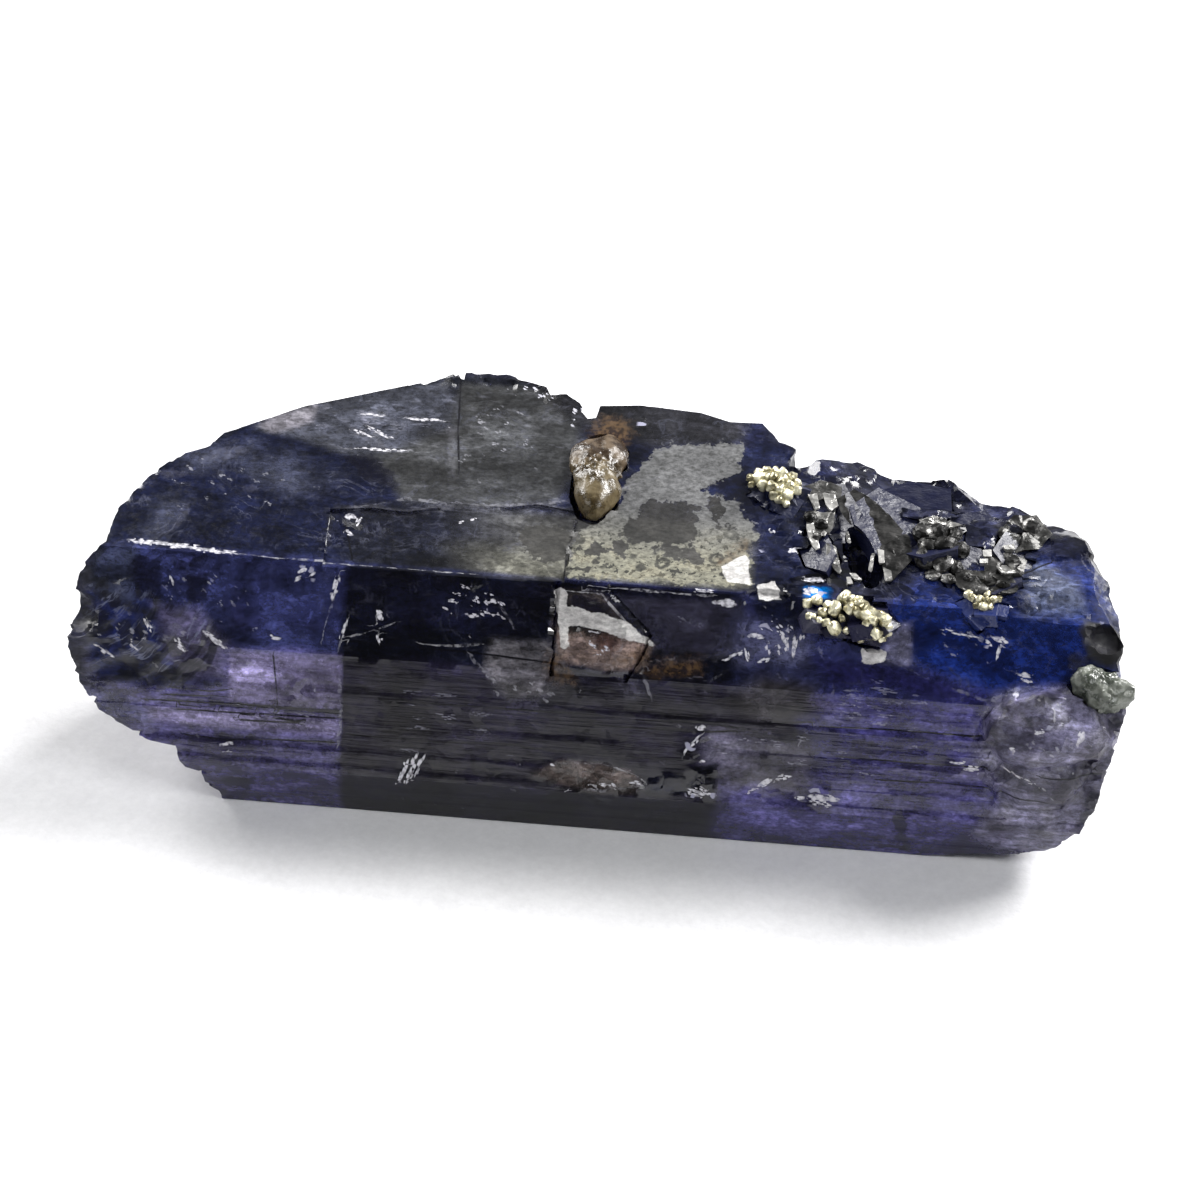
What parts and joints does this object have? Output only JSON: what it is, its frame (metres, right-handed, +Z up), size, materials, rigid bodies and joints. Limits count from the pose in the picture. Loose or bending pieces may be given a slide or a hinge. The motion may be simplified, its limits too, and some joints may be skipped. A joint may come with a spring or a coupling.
{
  "type": "rough tanzanite crystal",
  "caption": "Rough striated gem crystal lying on one side, broken at both ends, with grains of other minerals grown into its top.",
  "frame": {"origin": "on the surface it rests on, under the middle of its box", "axes": "+X along the prism towards the end with the graphite, -Y the striated front that faces the viewer, +Z up"},
  "size_m": [0.0256, 0.009, 0.0073],
  "materials": {
    "tanzanite": "clear to cloudy violet-blue crystal, striated along its length",
    "honey_grain": "translucent honey-coloured grain with a waxy gloss",
    "green_mineral": "translucent grey-green grain, rough",
    "graphite": "dark grey flakes with a metallic sheen",
    "pyrite": "pale brassy metallic cubes"
  },
  "bodies": {
    "root": {"tanzanite_crystal": "tanzanite", "amber_grain": "honey_grain", "green_grain": "green_mineral", "graphite_flakes": "graphite", "pyrite_upper": "pyrite", "pyrite_lower": "pyrite", "pyrite_right": "pyrite"}
  },
  "joints": []
}
